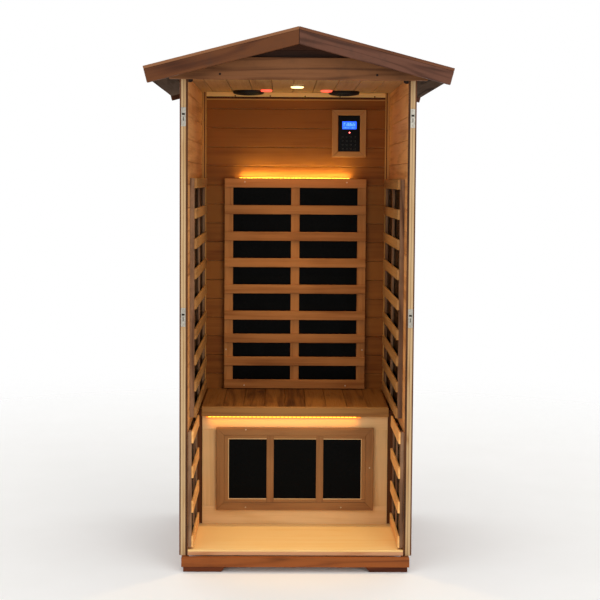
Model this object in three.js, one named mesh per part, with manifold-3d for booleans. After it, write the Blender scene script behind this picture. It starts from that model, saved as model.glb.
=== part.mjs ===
// One-person outdoor infrared sauna cabin with a gabled roof, standing without its front wall and door.
// Units are millimetres, +Z is up, the open front faces -Y and +X is to the right.
// The origin lies on the ground under the middle of the roof.

import * as THREE from 'three';
import { mergeVertices } from 'three/addons/utils/BufferGeometryUtils.js';
import Module from 'manifold-3d';

// Driving dimensions.

const FIT = 0.3; // clearance between pieces that touch

const CABIN_WIDTH = 900; // over the cladding
const CABIN_DEPTH = 872; // front edges of the side walls to the back of the back wall
const ROOM_HEIGHT = 1820; // floor boards to ceiling

const FOOT_HEIGHT = 20;
const FOOT_WIDTH = 147;
const FOOT_CHAMFER = 14; // how far the inner end leans out from its foot to the skirt
const FOOT_LENGTH = 100;
const FOOT_INSET = 7;
const SKIRT_HEIGHT = 38;
const SKIRT_THICKNESS = 20;
const SKIRT_INSET = 10; // the walls stand this far out past the skirt
const LEDGE_DEPTH = 28; // the base runs this far in front of the side walls to carry a front wall
const FLOOR_FRAME_HEIGHT = 14;
const FLOOR_BOARD = 8;

const WALL_CLADDING = 5;
const WALL_FRAME = 19;
const WALL_LINING = 8;
const CEILING_THICKNESS = 15;

const ROOF_PITCH = THREE.MathUtils.degToRad(14.6);
const ROOF_SEAT = 15.5; // roof underside above the ceiling, at the outer face of the side walls
const ROOF_PANEL = 33;
const ROOF_CAP = 11;
const BARGE_DROP = 19; // the barge boards hang this far below the roof panels
const BARGE_THICKNESS = 20;
const EAVE_OVERHANG = 127;
const GABLE_OVERHANG = 93.5; // past the back wall, and past the front of the base
const EAVE_SETBACK = 2; // the roof panels stop this far short of the caps
const RIDGE_JOINT = 1;

const HEADER_DROP = 10.5; // the header board hangs this far below the ceiling
const HEADER_HEIGHT = 83.5;
const HEADER_THICKNESS = 15;
const HEADER_SIDE = 39; // the header board runs this far out past the side walls
const GABLE_THICKNESS = 18;

const BENCH_HEIGHT = 494; // floor boards to the top of the seat
const BENCH_SIDE_GAP = 31; // side wall's lining to the end of the seat, clear of the side heaters
const BENCH_FRONT = 355; // front edges of the side walls to the face of the bench trim
const SEAT_THICKNESS = 18;
const TRIM_HEIGHT = 39;
const TRIM_THICKNESS = 20;
const BENCH_PANEL_INSET = 2; // the front panel ends this far inside the seat
const BENCH_PANEL_THICKNESS = 20;

const CORNER_TRIM_WIDTH = 20;
const CORNER_TRIM_THICKNESS = 10;

const STILE_WIDTH = 38; // upright bars of every heater grille
const SLAT_HEIGHT = 40;
const UPPER_OPENING_COUNT = 5; // openings of the back and side heaters' grilles
const LOWER_OPENING_COUNT = 3;
const OPENING_STEP = 15; // the lower openings are this much less high
const LEG_SLAT_HEIGHT = 46;
const LEG_OPENING_COUNT = 3;

const HEATER_DROP = 383; // ceiling to the top of the back and side heaters
const HEATER_ABOVE_BENCH = 4;
const HEATER_ABOVE_FLOOR = 7;
const LEG_HEATER_DROP = 37; // side heater to the leg heater under it
const BACK_HEATER_SIDE_GAP = 103; // side wall's lining to the back heater
const BACK_PANEL_INSET = 15; // the back heater's black panel ends this far inside its grille
const BACK_HEATER = { panel: 12, stile: 12, slat: 10 };
const SIDE_HEATER = { panel: 8, stile: 9, slat: 9 };
const LEG_HEATER = { panel: 8, stile: 6, slat: 8 };
const SIDE_HEATER_SETBACK = 100; // front edges of the side walls to the near end of a side heater
const SIDE_HEATER_BACK_GAP = 33; // far end of a side heater to the back wall's lining
const LEG_HEATER_SETBACK = 6;
const LEG_HEATER_BACK_GAP = 14; // far end of a leg heater to the bench's front panel
const SIDE_PANEL_TOP_INSET = 4; // a side or leg heater's panel ends this far below the top of its grille

const CALF_SIDE_GAP = 59; // end of the bench's front panel to the calf heater's frame
const CALF_RAISE = 61.5; // floor boards to the bottom of the calf heater's frame
const CALF_DROP = 47.5; // bench trim to the top of the calf heater's frame
const CALF_FRAME_THICKNESS = 10;
const CALF_PANEL_THICKNESS = 5;
const CALF_BORDER_SIDE = 49;
const CALF_BORDER_TOP = 45.5;
const CALF_MULLION = 29.5;
const CALF_MIDDLE_OPENING = 176;

const CONTROL_SIDE = 181; // right wall's lining to the middle of the control panel
const CONTROL_DROP = 180; // ceiling to the middle of the control panel
const CONTROL_WIDTH = 152;
const CONTROL_HEIGHT = 211;
const CONTROL_FACE_WIDTH = 97;
const CONTROL_FACE_HEIGHT = 160;
const CONTROL_FRAME_THICKNESS = 15;
const CONTROL_UNIT_THICKNESS = 12;

const CEILING_LAMP = { radius: 28, drop: 12, x: 0, back: 432 }; // back: from the back wall's lining
const RED_LAMP = { radius: 25, drop: 8, x: 130, back: 152 };
const SPEAKER = { radius: 68, drop: 20, x: 209, back: 84 };
const ROUND_SIDES = 32;

const BACK_STRIP_INSET = 55; // the strip ends this far inside the back heater
const BACK_STRIP_HEIGHT = 8;
const BACK_STRIP_THICKNESS = 8;
const BENCH_STRIP_LEFT_INSET = 18; // ends of the seat to the ends of the strip
const BENCH_STRIP_RIGHT_INSET = 115;
const BENCH_STRIP_HEIGHT = 9;
const BENCH_STRIP_THICKNESS = 12;

const LATCH = { margin: 0.5, height: 72, thickness: 2 }; // margin: to the edges of the wall's frame
const UPPER_LATCH_DROP = 152; // ceiling to the middle of a latch plate
const LOWER_LATCH_RAISE = 904; // floor boards to the middle of a latch plate

// Levels and planes that follow from them.

const BASE_TOP = FOOT_HEIGHT + SKIRT_HEIGHT;
const FLOOR_TOP = BASE_TOP + FLOOR_FRAME_HEIGHT + FLOOR_BOARD;
const CEILING = FLOOR_TOP + ROOM_HEIGHT;
const BENCH_TOP = FLOOR_TOP + BENCH_HEIGHT;

const CLADDING_OUTER = CABIN_WIDTH / 2;
const FRAME_OUTER = CLADDING_OUTER - WALL_CLADDING;
const LINING_OUTER = FRAME_OUTER - WALL_FRAME;
const ROOM_SIDE = LINING_OUTER - WALL_LINING;

const BACK_FACE = (CABIN_DEPTH + LEDGE_DEPTH) / 2;
const BASE_FRONT = -BACK_FACE;
const FRONT_EDGE = BASE_FRONT + LEDGE_DEPTH; // of the side walls
const BACK_FRAME_OUTER = BACK_FACE - WALL_CLADDING;
const BACK_LINING_OUTER = BACK_FRAME_OUTER - WALL_FRAME;
const ROOM_BACK = BACK_LINING_OUTER - WALL_LINING;

const PITCH_RISE = Math.tan(ROOF_PITCH);
const SOFFIT_AT_WALL = CEILING + ROOF_SEAT;
const SOFFIT_RIDGE = SOFFIT_AT_WALL + CLADDING_OUTER * PITCH_RISE;
const RIDGE_TOP = SOFFIT_RIDGE + (ROOF_PANEL + ROOF_CAP) / Math.cos(ROOF_PITCH);
const EAVE_X = CLADDING_OUTER + EAVE_OVERHANG;
const BARGE_FRONT = BASE_FRONT - GABLE_OVERHANG;
const BARGE_BACK = BACK_FACE + GABLE_OVERHANG;

const SEAT_FRONT = FRONT_EDGE + BENCH_FRONT + TRIM_THICKNESS;
const BENCH_HALF = ROOM_SIDE - BENCH_SIDE_GAP;
const BENCH_PANEL_HALF = BENCH_HALF - BENCH_PANEL_INSET;
const TRIM_BOTTOM = BENCH_TOP - TRIM_HEIGHT;

const BODY_BOTTOM = BENCH_TOP + HEATER_ABOVE_BENCH;
const BODY_TOP = CEILING - HEATER_DROP;
const BACK_HEATER_HALF = ROOM_SIDE - BACK_HEATER_SIDE_GAP;
const SIDE_HEATER_NEAR = FRONT_EDGE + SIDE_HEATER_SETBACK;
const SIDE_HEATER_FAR = ROOM_BACK - SIDE_HEATER_BACK_GAP;
const LEG_BOTTOM = FLOOR_TOP + HEATER_ABOVE_FLOOR;
const LEG_TOP = BODY_BOTTOM - LEG_HEATER_DROP;
const LEG_HEATER_NEAR = FRONT_EDGE + LEG_HEATER_SETBACK;
const LEG_HEATER_FAR = SEAT_FRONT - LEG_HEATER_BACK_GAP;

// Materials.

function paint(color, roughness, metalness = 0) {
  return new THREE.MeshStandardMaterial({ color, roughness, metalness });
}

const stainedWood = () => paint(0x6b3f2a, 0.65);
const baseWood = () => paint(0x8a4a26, 0.6);
const footWood = () => paint(0x5a2a16, 0.7);
const frameWood = () => paint(0xcfae7e, 0.7);
const liningWood = () => paint(0x9c6534, 0.6);
const headerWood = () => paint(0x8a6238, 0.65);
const floorWood = () => paint(0xe0a560, 0.6);
const seatWood = () => paint(0x8a5a30, 0.6);
const benchWood = () => paint(0xc39160, 0.6);
const grilleWood = () => paint(0x8f6140, 0.6);
const heaterBlack = () => paint(0x0b0b0a, 0.5);
const plasticBlack = () => paint(0x101010, 0.4);
const warmLight = () => paint(0xffd27a, 0.4);
const redLight = () => paint(0xff5a40, 0.4);
const zinc = () => paint(0xb4b4ae, 0.4, 1);

// Shapes.

const cabin = new THREE.Group();

function add(name, geometry, material) {
  const mesh = new THREE.Mesh(geometry, material);
  mesh.name = name;
  cabin.add(mesh);
  return mesh;
}

// A box between three pairs of limits. Its corners take the limits themselves, so that blocks which
// share a plane share it exactly and can be fused.
function block(...limits) {
  const geometry = new THREE.BoxGeometry();
  const position = geometry.getAttribute('position');
  for (let i = 0; i < position.count; i += 1) {
    limits.forEach(([low, high], axis) => {
      position.setComponent(i, axis, position.getComponent(i, axis) < 0 ? low : high);
    });
  }
  return geometry;
}

function outline(points) {
  return new THREE.Shape(points.map(([x, z]) => new THREE.Vector2(x, z)));
}

// An upright X-Z outline carried along Y.
function carried(shape, [y0, y1]) {
  const geometry = new THREE.ExtrudeGeometry(shape, { depth: y1 - y0, bevelEnabled: false });
  return geometry.rotateX(Math.PI / 2).translate(0, y1, 0);
}

function rectangle(x0, x1, z0, z1) {
  return [[x0, z0], [x1, z0], [x1, z1], [x0, z1]];
}

const wasm = await Module();
wasm.setup();

function solid(geometry) {
  const bare = geometry.clone();
  bare.deleteAttribute('normal');
  bare.deleteAttribute('uv');
  const merged = mergeVertices(bare);
  const vertProperties = new Float32Array(merged.attributes.position.array);
  const triVerts = new Uint32Array(merged.index.array);
  return new wasm.Manifold(new wasm.Mesh({ numProp: 3, vertProperties, triVerts }));
}

function fused(geometries) {
  const whole = geometries.map(solid).reduce((sum, piece) => sum.add(piece));
  const mesh = whole.getMesh();
  const geometry = new THREE.BufferGeometry();
  geometry.setAttribute('position', new THREE.BufferAttribute(new Float32Array(mesh.vertProperties), 3));
  geometry.setIndex(new THREE.BufferAttribute(new Uint32Array(mesh.triVerts), 1));
  const faceted = geometry.toNonIndexed();
  faceted.computeVertexNormals();
  return faceted;
}

// Both sides of a symmetrical pair: side is -1 on the left and 1 on the right.
const SIDES = [['left', -1], ['right', 1]];

function span(side, inner, outer) {
  return side > 0 ? [inner, outer] : [-outer, -inner];
}

// Base: four feet, a skirt frame and the floor.

function buildBase() {
  const half = CLADDING_OUTER - SKIRT_INSET;
  const front = BASE_FRONT;
  const back = BACK_FACE - SKIRT_INSET;
  const ring = new THREE.Shape();
  ring.moveTo(-half, front).lineTo(half, front).lineTo(half, back).lineTo(-half, back);
  const inner = half - SKIRT_THICKNESS;
  const hole = new THREE.Path();
  hole.moveTo(-inner, front + SKIRT_THICKNESS).lineTo(inner, front + SKIRT_THICKNESS);
  hole.lineTo(inner, back - SKIRT_THICKNESS).lineTo(-inner, back - SKIRT_THICKNESS);
  ring.holes.push(hole);
  const skirt = new THREE.ExtrudeGeometry(ring, { depth: SKIRT_HEIGHT - FIT, bevelEnabled: false });
  add('base_frame', skirt.translate(0, 0, FOOT_HEIGHT + FIT), baseWood());

  const footRows = [
    ['front', [front + FOOT_INSET, front + FOOT_INSET + FOOT_LENGTH]],
    ['back', [back - FOOT_INSET - FOOT_LENGTH, back - FOOT_INSET]],
  ];
  const outer = half - FOOT_INSET;
  for (const [row, depth] of footRows) {
    for (const [hand, side] of SIDES) {
      const points = [
        [side * outer, 0],
        [side * (outer - FOOT_WIDTH), 0],
        [side * (outer - FOOT_WIDTH - FOOT_CHAMFER), FOOT_HEIGHT],
        [side * outer, FOOT_HEIGHT],
      ];
      add(`${row}_${hand}_foot`, carried(outline(points), depth), footWood());
    }
  }

  const width = [-ROOM_SIDE + FIT, ROOM_SIDE - FIT];
  const depth = [FRONT_EDGE, ROOM_BACK - FIT];
  const frameTop = BASE_TOP + FLOOR_FRAME_HEIGHT;
  add('floor_frame', block(width, depth, [BASE_TOP + FIT, frameTop]), baseWood());
  add('floor_boards', block(width, depth, [frameTop + FIT, FLOOR_TOP]), floorWood());
}

// Walls: lining, frame and cladding, with the side walls cut to the slope of the roof.

function soffitAt(x) {
  return SOFFIT_RIDGE - Math.abs(x) * PITCH_RISE;
}

function slopedLayer(side, inner, outer) {
  return outline([
    [side * inner, BASE_TOP + FIT],
    [side * outer, BASE_TOP + FIT],
    [side * outer, soffitAt(outer) - FIT],
    [side * inner, soffitAt(inner) - FIT],
  ]);
}

function buildWalls() {
  for (const [hand, side] of SIDES) {
    const lining = block(
      span(side, ROOM_SIDE, LINING_OUTER - FIT),
      [FRONT_EDGE, ROOM_BACK - FIT],
      [BASE_TOP + FIT, CEILING - FIT],
    );
    const frame = slopedLayer(side, LINING_OUTER, FRAME_OUTER - FIT);
    const cladding = slopedLayer(side, FRAME_OUTER, CLADDING_OUTER);
    add(`${hand}_wall_lining`, lining, liningWood());
    add(`${hand}_wall_frame`, carried(frame, [FRONT_EDGE, BACK_LINING_OUTER - FIT]), frameWood());
    add(`${hand}_wall_cladding`, carried(cladding, [FRONT_EDGE, BACK_FACE]), stainedWood());
  }

  const between = (half) => [-half + FIT, half - FIT];
  const wallTop = soffitAt(CLADDING_OUTER) - FIT;
  add('back_wall_lining', block(
    between(LINING_OUTER), [ROOM_BACK, BACK_LINING_OUTER - FIT], [BASE_TOP + FIT, CEILING - FIT],
  ), liningWood());
  add('back_wall_frame', block(
    between(FRAME_OUTER), [BACK_LINING_OUTER, BACK_FRAME_OUTER - FIT], [BASE_TOP + FIT, wallTop],
  ), frameWood());
  add('back_wall_cladding', block(
    between(FRAME_OUTER), [BACK_FRAME_OUTER, BACK_FACE], [BASE_TOP + FIT, wallTop],
  ), stainedWood());

  const ceiling = block(
    between(LINING_OUTER), [FRONT_EDGE, BACK_LINING_OUTER - FIT], [CEILING, CEILING + CEILING_THICKNESS],
  );
  add('ceiling_panel', ceiling, liningWood());

  const trimDepth = [ROOM_BACK - CORNER_TRIM_THICKNESS, ROOM_BACK - FIT];
  const trimInner = ROOM_SIDE - CORNER_TRIM_WIDTH;
  for (const [hand, side] of SIDES) {
    const trim = block(span(side, trimInner, ROOM_SIDE - FIT), trimDepth, [BENCH_TOP + FIT, CEILING - FIT]);
    add(`${hand}_corner_trim`, trim, liningWood());
  }
  const topTrim = block(between(trimInner), trimDepth, [CEILING - CORNER_TRIM_WIDTH, CEILING - FIT]);
  add('ceiling_back_trim', topTrim, liningWood());
}

// Gables: a header board and an upper board at the front, one board at the back.

function underRoof(half, z0, z1) {
  const side = Math.min(soffitAt(half) - FIT, z1);
  const top = Math.min((SOFFIT_RIDGE - FIT - z1) / PITCH_RISE, half);
  const crown = top > 0 ? [[top, z1], [-top, z1]] : [[0, SOFFIT_RIDGE - FIT]];
  return outline([[-half, z0], [half, z0], [half, side], ...crown, [-half, side]]);
}

function buildGables() {
  const headerBottom = CEILING - HEADER_DROP;
  const header = underRoof(CLADDING_OUTER + HEADER_SIDE, headerBottom, headerBottom + HEADER_HEIGHT);
  const headerDepth = [FRONT_EDGE - HEADER_THICKNESS, FRONT_EDGE - FIT];
  add('front_header_board', carried(header, headerDepth), headerWood());

  const frontGable = underRoof(LINING_OUTER - FIT, CEILING + CEILING_THICKNESS + FIT, SOFFIT_RIDGE);
  add('front_gable_board', carried(frontGable, [FRONT_EDGE, FRONT_EDGE + GABLE_THICKNESS]), stainedWood());

  const backGable = underRoof(FRAME_OUTER - FIT, soffitAt(CLADDING_OUTER), SOFFIT_RIDGE);
  add('back_gable_board', carried(backGable, [BACK_FACE - GABLE_THICKNESS, BACK_FACE]), stainedWood());
}

// Roof: a panel and a cap board on each slope, with barge boards at both gables.

// Outline of a slope between two depths below its top face, square-cut at the eave.
function slope(side, upper, lower, setback) {
  const height = (x, depth) => RIDGE_TOP - depth / Math.cos(ROOF_PITCH) - x * PITCH_RISE;
  const end = (depth) => EAVE_X - setback * Math.cos(ROOF_PITCH) - depth * Math.sin(ROOF_PITCH);
  const corners = [
    [RIDGE_JOINT / 2, upper], [end(upper), upper], [end(lower), lower], [RIDGE_JOINT / 2, lower],
  ];
  return outline(corners.map(([x, depth]) => [side * x, height(x, depth)]));
}

function buildRoof() {
  const under = ROOF_CAP + FIT;
  const panelBottom = ROOF_CAP + ROOF_PANEL;
  const bargeBottom = panelBottom + BARGE_DROP;
  const panelDepth = [BARGE_FRONT + BARGE_THICKNESS + FIT, BARGE_BACK - BARGE_THICKNESS - FIT];
  const barges = [
    ['front', [BARGE_FRONT, BARGE_FRONT + BARGE_THICKNESS]],
    ['back', [BARGE_BACK - BARGE_THICKNESS, BARGE_BACK]],
  ];
  for (const [hand, side] of SIDES) {
    const panel = slope(side, under, panelBottom, EAVE_SETBACK);
    add(`${hand}_roof_panel`, carried(panel, panelDepth), liningWood());
    add(`${hand}_roof_cap`, carried(slope(side, 0, ROOF_CAP, 0), [BARGE_FRONT, BARGE_BACK]), stainedWood());
    for (const [end, depth] of barges) {
      add(`${end}_${hand}_barge`, carried(slope(side, under, bargeBottom, 0), depth), stainedWood());
    }
  }
}

// Bench: seat, front trim and front panel.

function buildBench() {
  const seatBottom = BENCH_TOP - SEAT_THICKNESS;
  add('bench_seat', block(
    [-BENCH_HALF, BENCH_HALF], [SEAT_FRONT + FIT, ROOM_BACK - FIT], [seatBottom, BENCH_TOP],
  ), seatWood());
  add('bench_front_trim', block(
    [-BENCH_HALF, BENCH_HALF], [SEAT_FRONT - TRIM_THICKNESS, SEAT_FRONT], [TRIM_BOTTOM, BENCH_TOP],
  ), seatWood());
  add('bench_front_panel', block(
    [-BENCH_PANEL_HALF, BENCH_PANEL_HALF],
    [SEAT_FRONT + FIT, SEAT_FRONT + BENCH_PANEL_THICKNESS],
    [FLOOR_TOP + FIT, seatBottom - FIT],
  ), benchWood());
}

// Heaters: a black panel behind a grille of slats on three upright stiles, fused where they cross.
// Built facing -Y, with the back of the panel at y = 0 and the bottom at z = 0.
// A seated grille's outer stiles reach back to the wall and close the ends of the panel.
// Any other grille's outer stiles stand in front of the panel.

// Openings between slats that fill the height, the lowest of them less high by a step.
function openings(height, slatHeight, upperCount, lowerCount, step) {
  const count = upperCount + lowerCount;
  const upper = (height - (count + 1) * slatHeight + lowerCount * step) / count;
  return [...Array(lowerCount).fill(upper - step), ...Array(upperCount).fill(upper)];
}

function grille(length, height, slatHeight, gaps, layers, seated) {
  const half = length / 2;
  const panelFront = -layers.panel - FIT;
  const outerBack = seated ? -FIT : panelFront;
  const slatBack = -layers.panel - layers.stile;
  const slatFront = slatBack - layers.slat;
  const stiles = [[-half, outerBack], [-STILE_WIDTH / 2, panelFront], [half - STILE_WIDTH, outerBack]];
  const pieces = stiles.map(([x, back]) => block([x, x + STILE_WIDTH], [slatBack, back], [0, height]));
  let bottom = 0;
  for (const gap of [...gaps, 0]) {
    pieces.push(block([-half, half], [slatFront, slatBack], [bottom, bottom + slatHeight]));
    bottom += slatHeight + gap;
  }
  return fused(pieces);
}

function heater(name, length, height, slatHeight, gaps, layers, insets, place) {
  const seated = insets.end > STILE_WIDTH;
  const half = length / 2 - insets.end;
  const panel = block([-half, half], [-layers.panel, -FIT], [0, height - insets.top]);
  place(add(`${name}_panel`, panel, heaterBlack()));
  place(add(`${name}_grille`, grille(length, height, slatHeight, gaps, layers, seated), grilleWood()));
}

function buildHeaters() {
  const bodyHeight = BODY_TOP - BODY_BOTTOM;
  const bodyGaps = openings(bodyHeight, SLAT_HEIGHT, UPPER_OPENING_COUNT, LOWER_OPENING_COUNT, OPENING_STEP);
  heater('back_heater', 2 * BACK_HEATER_HALF, bodyHeight, SLAT_HEIGHT, bodyGaps, BACK_HEATER,
    { end: BACK_PANEL_INSET, top: BACK_PANEL_INSET },
    (mesh) => mesh.position.set(0, ROOM_BACK, BODY_BOTTOM));

  const legHeight = LEG_TOP - LEG_BOTTOM;
  const legGaps = openings(legHeight, LEG_SLAT_HEIGHT, LEG_OPENING_COUNT, 0, 0);
  const insets = { end: STILE_WIDTH + FIT, top: SIDE_PANEL_TOP_INSET };
  for (const [hand, side] of SIDES) {
    const onWall = (near, far, bottom) => (mesh) => {
      mesh.rotation.z = -side * Math.PI / 2;
      mesh.position.set(side * ROOM_SIDE, (near + far) / 2, bottom);
    };
    heater(`${hand}_side_heater`, SIDE_HEATER_FAR - SIDE_HEATER_NEAR, bodyHeight, SLAT_HEIGHT, bodyGaps,
      SIDE_HEATER, insets, onWall(SIDE_HEATER_NEAR, SIDE_HEATER_FAR, BODY_BOTTOM));
    heater(`${hand}_leg_heater`, LEG_HEATER_FAR - LEG_HEATER_NEAR, legHeight, LEG_SLAT_HEIGHT, legGaps,
      LEG_HEATER, insets, onWall(LEG_HEATER_NEAR, LEG_HEATER_FAR, LEG_BOTTOM));
  }
}

// Calf heater on the bench front: a black panel under a frame with three openings.

function buildCalfHeater() {
  const half = BENCH_PANEL_HALF - CALF_SIDE_GAP;
  const bottom = FLOOR_TOP + CALF_RAISE;
  const top = TRIM_BOTTOM - CALF_DROP;
  const panelFront = SEAT_FRONT - CALF_PANEL_THICKNESS;
  const frameDepth = [panelFront - CALF_FRAME_THICKNESS, panelFront - FIT];
  const rails = [[bottom, bottom + CALF_BORDER_TOP], [top - CALF_BORDER_TOP, top]];
  const pieces = rails.map((height) => block([-half, half], frameDepth, height));
  const mullion = CALF_MIDDLE_OPENING / 2;
  const uprights = [[mullion, mullion + CALF_MULLION], [half - CALF_BORDER_SIDE, half]];
  for (const [, side] of SIDES) {
    for (const [inner, outer] of uprights) {
      pieces.push(block(span(side, inner, outer), frameDepth, [bottom, top]));
    }
  }
  const panel = block(
    [-half + CALF_MULLION, half - CALF_MULLION],
    [panelFront, SEAT_FRONT],
    [bottom + CALF_MULLION, top - CALF_MULLION],
  );
  add('calf_heater_panel', panel, heaterBlack());
  add('calf_heater_frame', fused(pieces), grilleWood());
}

// Control panel on the back wall.

function buildControl() {
  const x = ROOM_SIDE - CONTROL_SIDE;
  const z = CEILING - CONTROL_DROP;
  const rect = (width, height) => rectangle(x - width / 2, x + width / 2, z - height / 2, z + height / 2);
  const frame = outline(rect(CONTROL_WIDTH, CONTROL_HEIGHT));
  frame.holes.push(outline(rect(CONTROL_FACE_WIDTH + 2 * FIT, CONTROL_FACE_HEIGHT + 2 * FIT)));
  const unit = outline(rect(CONTROL_FACE_WIDTH, CONTROL_FACE_HEIGHT));
  add('control_frame', carried(frame, [ROOM_BACK - CONTROL_FRAME_THICKNESS, ROOM_BACK - FIT]), benchWood());
  add('control_unit', carried(unit, [ROOM_BACK - CONTROL_UNIT_THICKNESS, ROOM_BACK - FIT]), plasticBlack());
}

// Ceiling fittings: a warm lamp, two red lamps and two round speakers.

function disc(name, { radius, drop, x, back }, material) {
  const rim = drop / 3;
  const profile = [[0, 0], [radius, 0], [radius, -drop + rim], [radius - rim, -drop], [0, -drop]];
  const points = profile.map(([r, z]) => new THREE.Vector2(r, z)).reverse();
  const geometry = new THREE.LatheGeometry(points, ROUND_SIDES).rotateX(Math.PI / 2);
  add(name, geometry.translate(x, ROOM_BACK - back, CEILING - FIT), material);
}

function buildCeilingFittings() {
  disc('ceiling_lamp', CEILING_LAMP, warmLight());
  for (const [hand, side] of SIDES) {
    disc(`${hand}_red_lamp`, { ...RED_LAMP, x: side * RED_LAMP.x }, redLight());
    disc(`${hand}_speaker`, { ...SPEAKER, x: side * SPEAKER.x }, plasticBlack());
  }
}

// Light strips: one on top of the back heater, one under the bench trim.

function buildLightStrips() {
  const half = BACK_HEATER_HALF - BACK_STRIP_INSET;
  add('back_light_strip', block(
    [-half, half],
    [ROOM_BACK - BACK_STRIP_THICKNESS, ROOM_BACK - FIT],
    [BODY_TOP - BACK_PANEL_INSET + FIT, BODY_TOP + BACK_STRIP_HEIGHT / 2],
  ), warmLight());
  add('bench_light_strip', block(
    [-BENCH_HALF + BENCH_STRIP_LEFT_INSET, BENCH_HALF - BENCH_STRIP_RIGHT_INSET],
    [SEAT_FRONT - BENCH_STRIP_THICKNESS, SEAT_FRONT],
    [TRIM_BOTTOM - BENCH_STRIP_HEIGHT, TRIM_BOTTOM - FIT],
  ), warmLight());
}

// Latch plates on the front edges of the side walls, where the front wall fastens.

function buildLatches() {
  const depth = [FRONT_EDGE - LATCH.thickness, FRONT_EDGE - FIT];
  const levels = [['upper', CEILING - UPPER_LATCH_DROP], ['lower', FLOOR_TOP + LOWER_LATCH_RAISE]];
  for (const [hand, side] of SIDES) {
    const x = span(side, LINING_OUTER + LATCH.margin, FRAME_OUTER - LATCH.margin);
    for (const [level, z] of levels) {
      const plate = block(x, depth, [z - LATCH.height / 2, z + LATCH.height / 2]);
      add(`${level}_${hand}_latch_plate`, plate, zinc());
    }
  }
}

buildBase();
buildWalls();
buildGables();
buildRoof();
buildBench();
buildHeaters();
buildCalfHeater();
buildControl();
buildCeilingFittings();
buildLightStrips();
buildLatches();

export default cabin;
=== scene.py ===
import math
import random

import bmesh
import bpy
from mathutils import Matrix, Vector


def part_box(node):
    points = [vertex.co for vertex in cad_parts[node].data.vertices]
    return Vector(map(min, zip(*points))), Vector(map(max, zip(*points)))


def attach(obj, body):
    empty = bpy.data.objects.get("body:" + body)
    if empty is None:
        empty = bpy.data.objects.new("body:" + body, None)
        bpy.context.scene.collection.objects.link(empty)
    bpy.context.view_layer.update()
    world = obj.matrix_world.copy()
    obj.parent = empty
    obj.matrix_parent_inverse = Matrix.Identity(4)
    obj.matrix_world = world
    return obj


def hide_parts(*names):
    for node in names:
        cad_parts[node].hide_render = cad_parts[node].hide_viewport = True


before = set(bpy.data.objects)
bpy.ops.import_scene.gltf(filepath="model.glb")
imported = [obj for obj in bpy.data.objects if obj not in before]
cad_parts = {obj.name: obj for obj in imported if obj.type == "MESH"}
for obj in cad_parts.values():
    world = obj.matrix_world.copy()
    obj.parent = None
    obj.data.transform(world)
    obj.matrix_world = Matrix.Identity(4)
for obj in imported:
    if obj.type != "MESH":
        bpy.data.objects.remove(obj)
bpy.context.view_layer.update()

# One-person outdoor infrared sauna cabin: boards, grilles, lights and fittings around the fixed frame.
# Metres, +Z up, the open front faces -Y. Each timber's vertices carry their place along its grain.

MM = 0.001
X, Y, Z = Vector((1, 0, 0)), Vector((0, 1, 0)), Vector((0, 0, 1))
SIDES = (("left", -1), ("right", 1))

WALL_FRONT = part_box("left_wall_frame")[0].y
ROOM_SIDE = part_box("right_wall_lining")[0].x
ROOM_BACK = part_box("back_wall_lining")[0].y
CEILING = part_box("ceiling_panel")[0].z
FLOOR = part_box("floor_boards")[1].z
ROOF_PITCH = math.radians(14.6)

# Cover widths of the boards, and where the first joint falls.
SIDE_BOARD = 0.088
SIDE_JOINT_DROP = 0.0575  # ceiling to the first joint
BACK_BOARD = 0.0847
BACK_JOINT_DROP = 0.074
CEILING_BOARD = 0.0885
CEILING_JOINT = -0.015  # the ceiling joint nearest the middle
SEAT_BOARD = 0.086
SOFFIT_BOARD = 0.090
CLADDING_BOARD = 0.096
GABLE_BOARD = 0.045
GABLE_JOINT_DROP = 0.03
NARROWEST_BOARD = 0.01  # no joint falls closer than this to an end
VERGE = 0.060  # board that closes the roof at each gable

EDGE = 1.2 * MM  # rounding of a planed edge
V_JOINT = 1.8 * MM  # chamfer on each side of a board joint
BOARD_GAP = 1.2 * MM
SIDING_JOINT = {"gap": 1.6 * MM, "bevel": 2.4 * MM}
CEILING_GROOVE = {"gap": 1.8 * MM, "bevel": 2.6 * MM}
CLOSED_JOINT = {"gap": 0, "bevel": 3.0 * MM}  # nothing shows through between the boards
PROUD = 0.1 * MM  # how far a screw head's underside stands off its board
TACK_MARGIN = 0.02

GROOVE = {"left": (0.52, 0.72), "right": (0.28, 0.48)}  # the corner beads' groove, as shares of their width


# Camera: at the height of a standing person's eyes, five metres in front of the walls.

def make_camera():
    distance, height, aside = 4.843, 1.5113, -0.0605
    pitch, yaw, roll = math.radians(-3.509), math.radians(-0.835), math.radians(0.390)
    data = bpy.data.cameras.new("camera")
    data.sensor_width = 36
    data.lens = 76.189
    data.shift_y = -0.07
    camera = bpy.data.objects.new("camera", data)
    bpy.context.scene.collection.objects.link(camera)
    turn = Matrix.Rotation(yaw, 4, "Z") @ Matrix.Rotation(math.pi / 2 + pitch, 4, "X")
    turn = turn @ Matrix.Rotation(roll, 4, "Z")
    camera.matrix_world = Matrix.Translation((aside, WALL_FRONT - distance, height)) @ turn
    bpy.context.scene.camera = camera


# Materials.

def linear(code):
    """A linear colour from its usual #rrggbb form."""
    channels = [int(code[i:i + 2], 16) / 255 for i in (1, 3, 5)]
    return [c / 12.92 if c <= 0.04045 else ((c + 0.055) / 1.055) ** 2.4 for c in channels] + [1]


TURN = 6.28  # one growth ring, in radians
KNOT = linear("#4a2614")
WEATHERED = linear("#3a2a20")


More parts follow.
